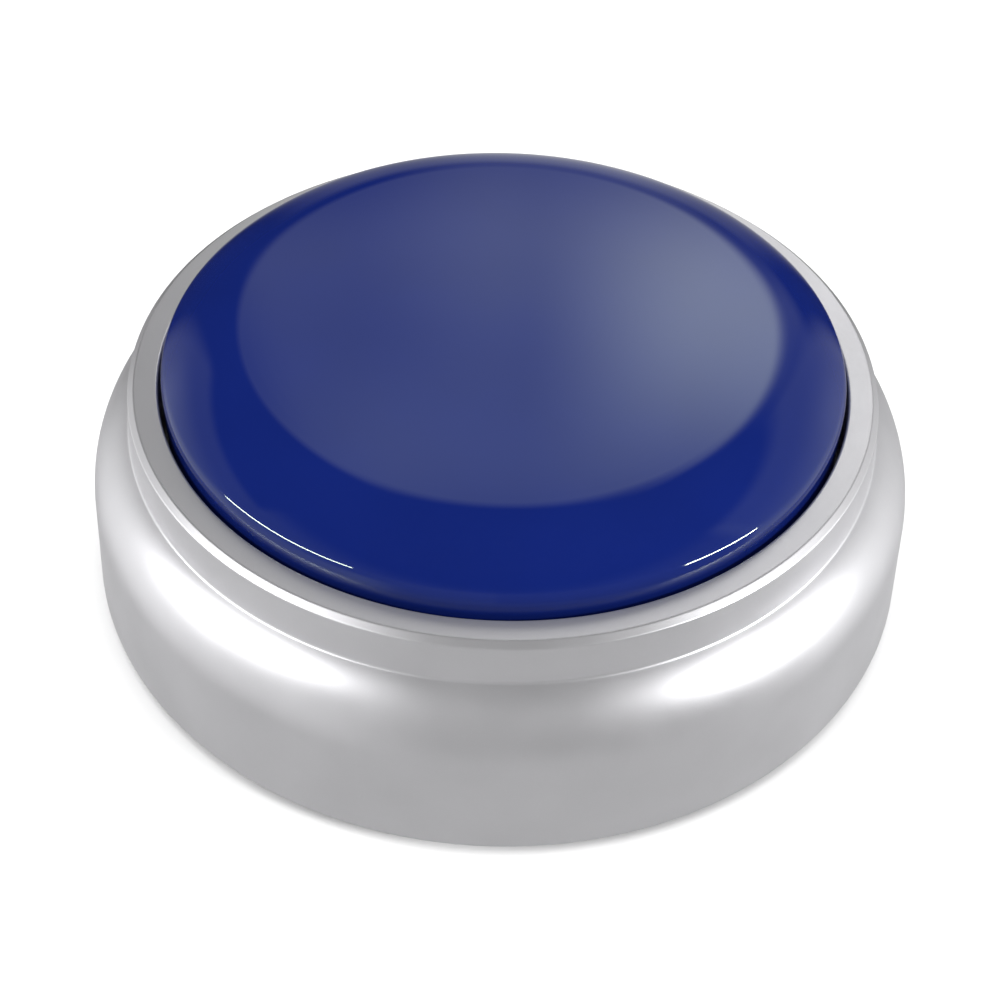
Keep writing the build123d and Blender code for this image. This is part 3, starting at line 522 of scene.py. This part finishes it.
def cap():
    """The push cap with a fine crown, shoulder and corner, and its legs, ribs, spring seats and post."""
    low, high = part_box("push_cap")
    radius, top, foot = high.x / MM, high.z / MM, low.z / MM
    crown, sphere, shoulder, wall, thick = 27.2, 400.0, 12.4, 2.0, 2.2
    room_to_travel = 2.25
    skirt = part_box("bump_ring")[1].z / MM + room_to_travel
    slope = degrees(asin(crown / sphere))
    crown_centre = Vector((0, top - sphere))
    bend = crown_centre + Vector((crown, sphere * cos(radians(slope)))) * (1 - shoulder / sphere)
    turn = 45.0
    corner = (radius - bend.x - shoulder * sin(radians(turn))) / (1 - sin(radians(turn)))
    corner_centre = bend + Vector((sin(radians(turn)), cos(radians(turn)))) * (shoulder - corner)
    hollow = shoulder - thick
    inside = degrees(asin((radius - wall - bend.x) / hollow))
    points = [
        *arc(crown_centre, sphere, 90, 90 - slope, 0.15),
        *arc(bend, shoulder, 90 - slope, 90 - turn, 1.5)[1:],
        *arc(corner_centre, corner, 90 - turn, 0, 4)[1:],
        Vector((radius, skirt)),
        Vector((radius - wall, skirt)),
        *arc(bend, hollow, 90 - inside, 90 - slope, 4),
        *arc(crown_centre, sphere - thick, 90 - slope, 90, 0.5)[1:],
    ]
    bm = bmesh.new()
    turned_shell(bm, points, closed=False)
    leg_in, leg_out, leg_top, leg_width = 31.6, 33.7, 27.8, 8
    hook, hook_ramp, hook_height = 34.9, 1.1, 1.5
    leg = [
        (leg_in, leg_top),
        (leg_in, foot),
        (leg_out, foot),
        (hook, foot + hook_ramp),
        (hook, foot + hook_height),
        (leg_out, foot + hook_height),
        (leg_out, leg_top),
    ]
    rib_width, spring_circle = 1.2, 26.5
    rib = [(0, 26.9), (32, 26.9), (32, 28.2), (27, 29.4), (0, 30.2)]
    seat = [(25.6, 0), (25.6, 2.3), (27.8, 2.3), (27.8, 4.2), (29.5, 4.2), (29.5, 0)]
    post_gap, post_radius, post_top = 1.97, 3, 30.4
    post_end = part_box("switch_button")[1].z / MM + post_gap
    post = [(post_end, 0), (post_end, post_radius), (post_top, post_radius), (post_top, 0)]
    up = Vector((0, 0, 1))
    for quarter in (0, 90, 180, 270):
        slab(bm, leg, leg_width, quarter)
        slab(bm, rib, rib_width, quarter)
        diagonal = radians(quarter + 45)
        place = Vector((cos(diagonal), sin(diagonal), 0)) * spring_circle * MM
        lathe(bm, [(z * MM, r * MM, 0) for z, r in seat], up, place, 48)
    lathe(bm, [(z * MM, r * MM, 0) for z, r in post], up, Vector(), 48)
    piece = finished("cap_moulding", bm, [SLOTS["cap_blue"]])
    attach(piece, "cap")
    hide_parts("push_cap")


housing()
cap()


def coil_springs():
    """Compression springs with closed ends, in place of the plain coils."""
    low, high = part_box("return_springs")
    wire, coil = 0.25 * MM, 3.1 * MM
    turns, closed_turns, steps = 7.5, 0.9, 300
    centre = (low + high) / 2
    spread_out = high.x - centre.x - coil - wire
    rise = high.z - low.z - 2 * wire
    pitch = 2 * wire
    bm = bmesh.new()
    for sx in (-1, 1):
        for sy in (-1, 1):
            middle = Vector((centre.x + sx * spread_out, centre.y + sy * spread_out, 0))
            points = []
            for i in range(steps + 1):
                turn = turns * i / steps
                if turn < closed_turns:
                    climb = turn * pitch
                elif turn > turns - closed_turns:
                    climb = rise - (turns - turn) * pitch
                else:
                    open_share = (turn - closed_turns) / (turns - 2 * closed_turns)
                    climb = closed_turns * pitch + open_share * (rise - 2 * closed_turns * pitch)
                angle = tau * turn
                offset = Vector((cos(angle) * coil, sin(angle) * coil, low.z + wire + climb))
                points.append(middle + offset)
            tube(bm, points, wire, 10)
    springs = finished("coil_springs", bm, [SLOTS["spring_steel"]])
    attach(springs, "base")
    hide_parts("return_springs")
    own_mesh(springs)


coil_springs()


def battery_cells():
    """Cells with a shrunk sleeve, a stepped nub and a dished base, in place of the plain cylinders."""
    low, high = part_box("aaa_cells")
    radius = (high.z - low.z) / 2
    length = 44.5 * MM
    widest = 5.25 * MM
    band_end = 9.5 * MM
    sleeve_index, metal_index, seal_index = 0, 1, 2
    outline = [
        (0.35, 0.0, metal_index),
        (0.35, 3.0, metal_index),
        (0.05, 3.6, metal_index),
        (0.0, 4.4, metal_index),
        (0.12, 4.75, sleeve_index),
        (0.02, 4.8, sleeve_index),
        (0.0, 5.0, sleeve_index),
        (0.2, 5.2, sleeve_index),
        (0.55, 5.25, sleeve_index),
        (1.0, 5.22, sleeve_index),
        (42.4, 5.22, sleeve_index),
        (42.9, 5.25, sleeve_index),
        (43.3, 5.18, sleeve_index),
        (43.48, 4.9, sleeve_index),
        (43.4, 4.5, seal_index),
        (43.1, 4.45, seal_index),
        (43.1, 3.5, metal_index),
        (43.25, 3.3, metal_index),
        (43.3, 2.2, metal_index),
        (43.5, 1.95, metal_index),
        (44.2, 1.85, metal_index),
        (44.5, 1.6, metal_index),
        (44.5, 0.0, metal_index),
    ]
    scale = radius / widest
    profile = [(x * MM, r * MM * scale, i) for x, r, i in outline]
    bm = bmesh.new()
    height = (low.z + high.z) / 2
    for row, direction, start in (
        (high.y - radius, -1, low.x + length),
        (low.y + radius, 1, high.x - length),
    ):
        lathe(bm, profile, Vector((direction, 0, 0)), Vector((start, row, height)))
    band = sleeve("cell_band", (0.012, 0.03, 0.016), (0.32, 0.19, 0.06), -band_end, band_end)
    metal_end = metal("cell_metal", (0.7, 0.68, 0.64), 0.2, size_mm=0.5)
    seal = moulded("cell_seal", (0.09, 0.09, 0.1), 0.5, 0.4, 0.01)
    cells = finished("battery_cells", bm, [band, metal_end, seal])
    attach(cells, "base")
    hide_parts("aaa_cells")


battery_cells()


def solder_joints():
    """A cone of solder round the end of every lead on the circuit board."""
    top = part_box("circuit_board")[1].z
    outline = [(0.0, 1.15), (0.12, 1.05), (0.3, 0.78), (0.6, 0.6), (1.0, 0.53), (1.25, 0.5)]
    profile = [(z * MM, r * MM, 0) for z, r in outline]
    bm = bmesh.new()
    for lead in ("lead_battery_minus", "lead_switched", "lead_speaker_plus", "lead_speaker_minus"):
        ends = [v.co for v in NODES[lead].data.vertices if abs(v.co.z - top) < 0.02 * MM]
        centre = sum(ends, Vector()) / len(ends)
        lathe(bm, profile, Vector((0, 0, 1)), centre, 32)
    joints = finished("solder_joints", bm, [metal("solder", (0.7, 0.7, 0.68), 0.22, size_mm=0.6)])
    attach(joints, "base")


solder_joints()


# ---------------------------------------------------------------- stage, light and camera


def floor():
    """A white table. Glossy surfaces reflect the lower half of the studio instead of it."""
    bm = bmesh.new()
    bmesh.ops.create_grid(bm, x_segments=1, y_segments=1, size=1.0)
    s = Surface("floor_white", (0.9, 0.9, 0.9), 0.9, IOR=1.3)
    dull, bright = ((level, level, level) for level in (0.895, 0.905))
    s.set("Base Color", s.blend(s.spread(s.noise(60, 3), 0.3, 0.7), dull, bright))
    plane = finished("floor", bm, [s.material])
    plane.visible_glossy = False


def softbox(name, azimuth, elevation, distance, width, height, radiance, tilt=0.0, mirrored=True):
    """An area light that faces the buzzer. Azimuth is from +Y towards +X, in degrees."""
    light = bpy.data.lights.new(name, "AREA")
    light.shape = "RECTANGLE"
    light.size, light.size_y = width, height
    light.energy = radiance * width * height * pi
    az, el = radians(azimuth), radians(elevation)
    place = Vector((sin(az) * cos(el), cos(az) * cos(el), sin(el))) * distance
    facing = place.to_track_quat("Z", "Y").to_matrix().to_4x4()
    lamp = bpy.data.objects.new(name, light)
    lamp.matrix_world = Matrix.Translation(place) @ facing @ Matrix.Rotation(radians(tilt), 4, "Z")
    lamp.visible_glossy = mirrored
    SCENE.collection.objects.link(lamp)


# The radiance of the studio where it has no wall.
DIMMEST = 0.02

# The studio's walls by direction, in degrees: left and right azimuth, bottom and top elevation, how
# softly the sides and the ends fade, and the radiance. Where they overlap, they add up.
WALLS = (
    (-98, -41, -28, 33, 4, 3, 0.30),
    (-98, -50, -28, 17, 8, 9, 0.35),
    (-98, -56, -28, 4, 8, 8, 0.35),
    (37, 102, -28, 42, 4, 4, 0.36),
    (50, 102, -28, 20, 10, 14, 0.35),
    (66, 102, -28, 3, 8, 10, 0.25),
    (-15, 21, -28, 14, 6, 7, 0.30),
    (-4, 12, -28, 20, 5, 6, 0.30),
    (-18, 23, 28, 55, 4, 6, 0.60),
    (-14, 12, 44, 56, 6, 5, 0.35),
    (7, 25, 29, 46, 6, 8, 1.85),
    (-5, 20, 20, 42, 5, 6, 0.40),
    (22, 36, 17, 42, 6, 6, 0.30),
    (-190, -98, -28, 40, 3, 8, 0.28),
    (98, 190, -28, 40, 3, 8, 0.2),
    (-148, -98, -28, 12, 8, 7, 0.45),
    (-190, 190, -100, -26, 5, 8, 0.42),
)


def surroundings():
    """A studio of pale walls that glossy surfaces mirror, behind a plain pale backdrop."""
    world = bpy.data.worlds.new("studio")
    SCENE.world = world
    world.use_nodes = True
    tree = world.node_tree
    background = tree.nodes["Background"]
    direction = tree.nodes.new("ShaderNodeTexCoord").outputs["Generated"]
    split = tree.nodes.new("ShaderNodeSeparateXYZ")
    tree.links.new(direction, split.inputs[0])

    def calc(operation, a, b=None):
        made = tree.nodes.new("ShaderNodeMath")
        made.operation = operation
        for socket, value in zip(made.inputs, (a, b)):
            if isinstance(value, bpy.types.NodeSocket):
                tree.links.new(value, socket)
            elif value is not None:
                socket.default_value = value
        return made.outputs[0]

    def step(value, start, end):
        made = tree.nodes.new("ShaderNodeMapRange")
        made.interpolation_type = "SMOOTHSTEP"
        tree.links.new(value, made.inputs["Value"])
        made.inputs["From Min"].default_value = start
        made.inputs["From Max"].default_value = end
        return made.outputs[0]

    azimuth = calc("MULTIPLY", calc("ARCTAN2", split.outputs[0], split.outputs[1]), 180 / pi)
    elevation = calc("MULTIPLY", calc("ARCSINE", split.outputs[2]), 180 / pi)
    total = DIMMEST
    for left, right, bottom, top, soft_sides, soft_ends, radiance in WALLS:
        sides = calc(
            "MULTIPLY",
            step(azimuth, left - soft_sides, left + soft_sides),
            step(azimuth, right + soft_sides, right - soft_sides),
        )
        ends = calc(
            "MULTIPLY",
            step(elevation, bottom - soft_ends, bottom + soft_ends),
            step(elevation, top + soft_ends, top - soft_ends),
        )
        total = calc("ADD", calc("MULTIPLY", calc("MULTIPLY", sides, ends), radiance), total)
    seen = tree.nodes.new("ShaderNodeLightPath").outputs["Is Camera Ray"]
    tree.links.new(calc("MAXIMUM", total, seen), background.inputs["Strength"])
    background.inputs["Color"].default_value = (1.0, 1.0, 1.0, 1.0)


def camera():
    """Looks down at the front of the buzzer, from near, with a slight roll."""
    elevation, roll = radians(45.33), radians(1.89)
    distance = 200 * MM
    aim = Vector((0, 0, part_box("housing_shell")[0].z))
    back = Vector((0, -cos(elevation), sin(elevation)))
    level, upright = Vector((1, 0, 0)), Vector((0, sin(elevation), cos(elevation)))
    right = level * cos(roll) + upright * sin(roll)
    up = upright * cos(roll) - level * sin(roll)
    data = bpy.data.cameras.new("camera")
    data.lens, data.sensor_width = 62.47, 36.0
    data.shift_x, data.shift_y = 0.001, 0.0204
    data.clip_start = 0.01
    view = bpy.data.objects.new("camera", data)
    axes = Matrix((right, up, back)).transposed()
    view.matrix_world = Matrix.Translation(aim + back * distance) @ axes.to_4x4()
    SCENE.collection.objects.link(view)
    SCENE.camera = view


floor()
surroundings()
softbox("softbox_left", -113, 25, 1.2, 0.92, 0.06, 46, tilt=27)
softbox("softbox_right", 112, 17.5, 1.2, 0.52, 0.06, 112, tilt=-30)
softbox("overhead", 0, 90, 2.5, 3.0, 3.0, 3.0, mirrored=False)
camera()
SCENE.view_settings.view_transform = "Standard"
